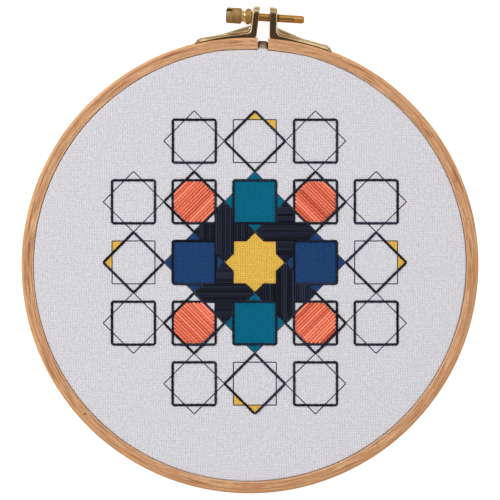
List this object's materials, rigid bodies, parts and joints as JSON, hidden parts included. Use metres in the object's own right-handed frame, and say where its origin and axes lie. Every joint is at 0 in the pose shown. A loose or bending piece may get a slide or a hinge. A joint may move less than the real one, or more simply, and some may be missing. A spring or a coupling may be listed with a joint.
{
  "type": "embroidered cloth art in a wooden embroidery hoop",
  "caption": "Round embroidered cloth stretched in a split wooden hoop with a brass clamping screw; stars and crosses in satin stitch and laid thread.",
  "frame": {"origin": "middle of the bounding box in X and Y, on the surface that the hoop's back lies on", "axes": "+Z out of the stitched face, +Y from the hoop's centre to the clamping screw, +X to the right as the face is seen"},
  "size_m": [0.211, 0.225, 0.0102],
  "materials": {
    "beech": "smooth waxed beech, steam bent",
    "pale_beech": "smooth waxed beech",
    "cotton": "white evenweave cotton, printed in part",
    "brass": "bright stamped brass plate",
    "screw_brass": "turned and lacquered brass",
    "navy_floss": "stranded cotton with a soft sheen",
    "coral_floss": "stranded cotton with a soft sheen"
  },
  "bodies": {
    "hoop": {"outer_ring": "beech", "inner_ring": "pale_beech", "cloth": "cotton", "bracket_left": "brass", "bracket_right": "brass", "satin_navy_1": "navy_floss", "satin_navy_2": "navy_floss", "satin_navy_3": "navy_floss", "satin_navy_4": "navy_floss", "satin_coral_1": "coral_floss", "satin_coral_2": "coral_floss", "satin_coral_3": "coral_floss", "satin_coral_4": "coral_floss", "thread_star_1": "navy_floss", "thread_star_2": "navy_floss", "thread_star_3": "navy_floss", "thread_star_4": "navy_floss", "thread_diamond_1": "navy_floss", "thread_diamond_2": "navy_floss", "thread_diamond_3": "navy_floss", "thread_diamond_4": "navy_floss", "thread_square_1": "navy_floss", "thread_square_2": "navy_floss", "thread_square_3": "navy_floss", "thread_square_4": "navy_floss", "thread_square_5": "navy_floss", "thread_square_6": "navy_floss", "thread_square_7": "navy_floss", "thread_square_8": "navy_floss", "thread_square_9": "navy_floss", "thread_square_10": "navy_floss", "thread_square_11": "navy_floss", "thread_square_12": "navy_floss"},
    "screw": {"screw": "screw_brass"}
  },
  "joints": [
    {"name": "screw_turn", "type": "hinge", "parent": "hoop", "child": "screw", "pos_m": [0, 0.10775, 0.00475], "axis": [1, 0, 0], "continuous": true}
  ]
}
